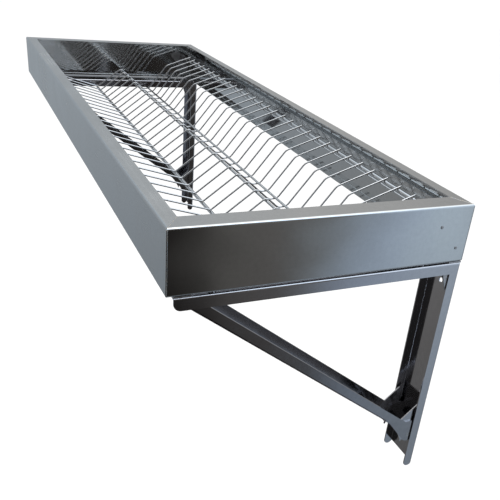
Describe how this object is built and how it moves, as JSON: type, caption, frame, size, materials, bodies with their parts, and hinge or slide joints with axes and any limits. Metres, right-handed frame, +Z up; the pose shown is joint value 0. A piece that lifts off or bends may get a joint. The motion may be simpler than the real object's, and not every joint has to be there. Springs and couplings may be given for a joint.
{
  "type": "wall mounted fold down drying rack",
  "caption": "Stainless steel tray with a lift-out zig-zag wire rack, on two wall brackets with struts, that folds down flat against the wall.",
  "frame": {"origin": "centre of the four wall screw holes, on the wall plane", "axes": "+X along the wall, -Y out into the room, +Z up"},
  "size_m": [1.1512, 0.4, 0.436],
  "materials": {
    "tray_steel": "satin brushed stainless steel sheet",
    "bracket_steel": "bright rolled stainless steel",
    "wire_steel": "polished stainless steel wire",
    "fixings": "plain stainless steel fixings",
    "dark_nuts": "black oxide steel"
  },
  "bodies": {
    "wall_frame": {"post_left": "bracket_steel", "post_right": "bracket_steel", "foot_clevis_left": "bracket_steel", "foot_clevis_right": "bracket_steel", "post_hinge_lugs": "bracket_steel"},
    "tray": {"front_panel": "tray_steel", "rear_panel": "tray_steel", "end_panel_left": "tray_steel", "end_panel_right": "tray_steel", "arm_left": "bracket_steel", "arm_right": "bracket_steel", "arm_pads": "bracket_steel", "screw_spacers": "fixings", "tray_screws": "fixings", "tray_nuts": "fixings", "arm_hinge_lugs": "bracket_steel", "hinge_rods": "fixings", "strut_pivot_pins": "fixings", "rear_cradles": "fixings", "front_cradles": "fixings", "cradle_rivets": "fixings"},
    "rack": {"rack_wires": "wire_steel", "rear_bar": "wire_steel", "front_bar": "wire_steel", "shelf_rod": "wire_steel", "trough_rod": "wire_steel", "ridge_rod": "wire_steel", "valley_rod": "wire_steel"},
    "brace_left": {"strut_left": "bracket_steel", "strut_gussets_left": "bracket_steel", "foot_studs_left": "fixings", "foot_nuts_left": "dark_nuts"},
    "brace_right": {"strut_right": "bracket_steel", "strut_gussets_right": "bracket_steel", "foot_studs_right": "fixings", "foot_nuts_right": "dark_nuts"}
  },
  "joints": [
    {"name": "tray_fold", "type": "hinge", "parent": "wall_frame", "child": "tray", "pos_m": [0, -0.0155, 0.1565], "axis": [1, 0, 0], "range_deg": [0, 90]},
    {"name": "strut_swing_left", "type": "hinge", "parent": "tray", "child": "brace_left", "pos_m": [-0.54625, -0.37, 0.1635], "axis": [-1, 0, 0], "range_deg": [0, 142.2]},
    {"name": "strut_swing_right", "type": "hinge", "parent": "tray", "child": "brace_right", "pos_m": [0.54625, -0.37, 0.1635], "axis": [-1, 0, 0], "range_deg": [0, 142.2]},
    {"name": "rack_lift", "type": "slide", "parent": "tray", "child": "rack", "axis": [0, 0, 1], "range_m": [0, 0.11]}
  ],
  "couplings": [
    {"joint": "strut_swing_left", "follows": "tray_fold", "ratio": 1.58},
    {"joint": "strut_swing_right", "follows": "tray_fold", "ratio": 1.58}
  ]
}
